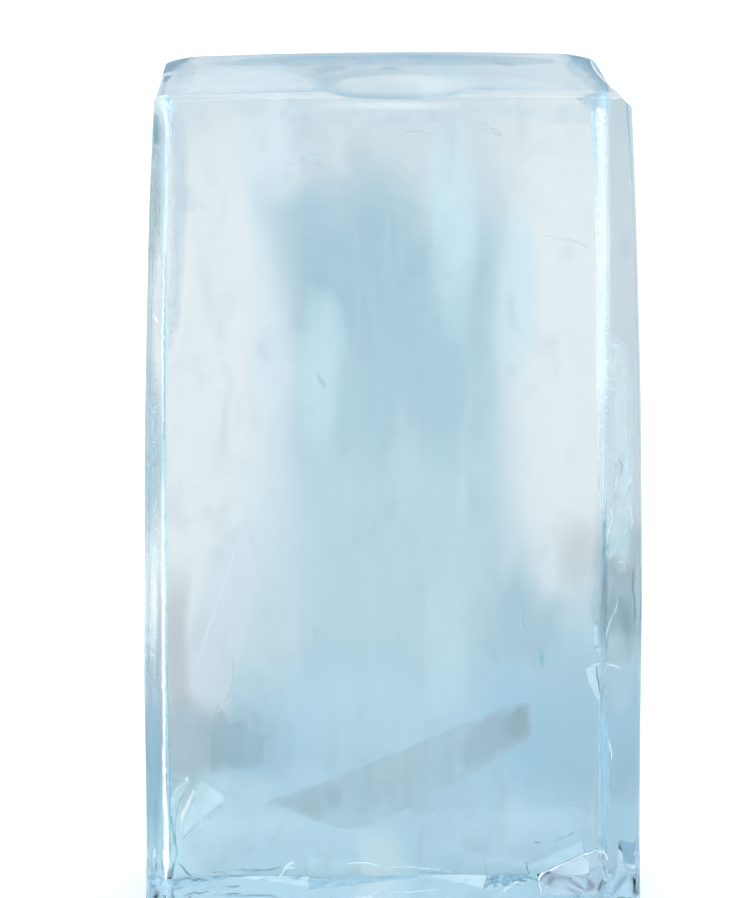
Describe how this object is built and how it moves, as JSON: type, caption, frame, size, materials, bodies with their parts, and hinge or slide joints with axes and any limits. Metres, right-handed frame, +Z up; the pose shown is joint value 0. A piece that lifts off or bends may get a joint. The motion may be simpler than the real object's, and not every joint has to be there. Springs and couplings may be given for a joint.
{
  "type": "ice block",
  "caption": "Tall rectangular block of clear ice standing on its flat foot, melted narrower at the top, with worn and chipped edges.",
  "frame": {"origin": "middle of the foot, on the surface that the block stands on", "axes": "+Z up along the block's height, +X to the right, -Y towards the front"},
  "size_m": [0.5057, 0.2537, 0.87],
  "materials": {
    "clear_ice": "clear pale blue ice, smooth and wet, clouded in places"
  },
  "bodies": {
    "root": {"ice_block": "clear_ice"}
  },
  "joints": []
}
